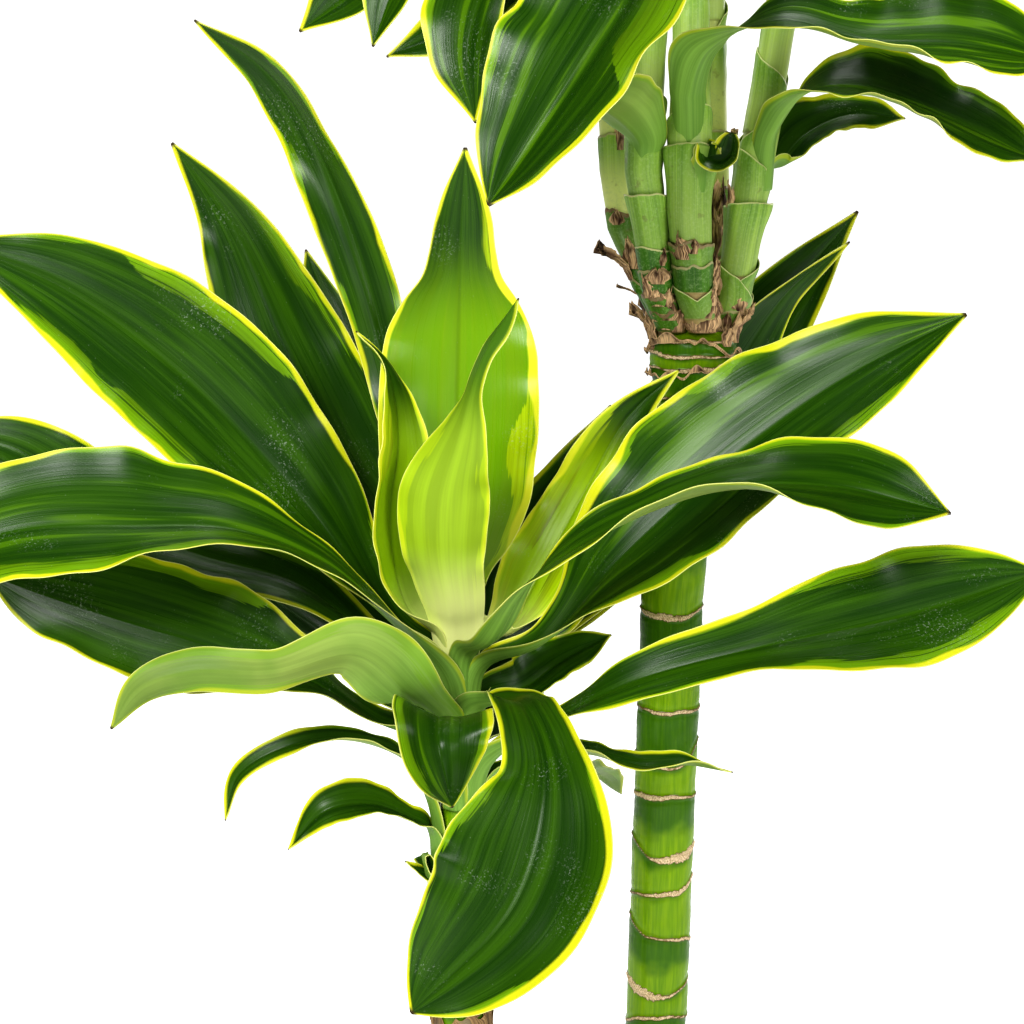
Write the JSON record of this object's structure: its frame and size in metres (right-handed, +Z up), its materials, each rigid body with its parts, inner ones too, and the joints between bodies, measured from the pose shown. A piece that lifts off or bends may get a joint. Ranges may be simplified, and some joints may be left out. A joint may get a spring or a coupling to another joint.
{
  "type": "potted corn plant",
  "caption": "Potted corn plant with bare ringed canes, a rosette of long arching striped strap leaves and sheathed leafy shoots above, in a plain round tapered pot.",
  "frame": {"origin": "centre of the pot's flat underside", "axes": "+Z up along the plant's height, +X to the viewer's right in the picture, +Y away from the viewer"},
  "size_m": [0.6627, 0.5375, 1.0887],
  "materials": {
    "pot": "satin",
    "soil": "matte",
    "cane": "satin",
    "dry_sheath": "matte",
    "shoot": "satin",
    "leaf": "satin",
    "young_leaf": "satin"
  },
  "bodies": {
    "root": {"dry_sheath_crown": "dry_sheath", "dry_sheath_ring": "dry_sheath", "leaf_back_right_slim": "leaf", "leaf_back_right_wide": "leaf", "leaf_behind_left": "leaf", "leaf_behind_low": "leaf", "leaf_behind_lower": "leaf", "leaf_behind_lowest": "leaf", "leaf_behind_middle": "leaf", "leaf_behind_upper": "leaf", "leaf_centre_tall": "young_leaf", "leaf_centre_young": "young_leaf", "leaf_front_big": "leaf", "leaf_front_small": "leaf", "leaf_left_broad": "leaf", "leaf_left_curled": "leaf", "leaf_left_far": "leaf", "leaf_left_low": "leaf", "leaf_left_short": "leaf", "leaf_left_striped": "leaf", "leaf_left_thin": "leaf", "leaf_left_young": "young_leaf", "leaf_lower_left": "leaf", "leaf_lowest_left": "leaf", "leaf_right_arching": "leaf", "leaf_right_broad": "leaf", "leaf_right_low": "leaf", "leaf_right_shaded": "leaf", "leaf_right_thin": "leaf", "leaf_right_under": "leaf", "leaf_right_young": "young_leaf", "leaf_stub": "leaf", "leaf_tall_twisted": "leaf", "leaf_upper_left": "leaf", "pot": "pot", "shoot_left_back": "shoot", "shoot_left_front": "shoot", "shoot_middle_back": "shoot", "shoot_middle_front": "shoot", "shoot_right": "shoot", "short_cane": "cane", "soil": "soil", "tall_cane": "cane"}
  },
  "joints": []
}
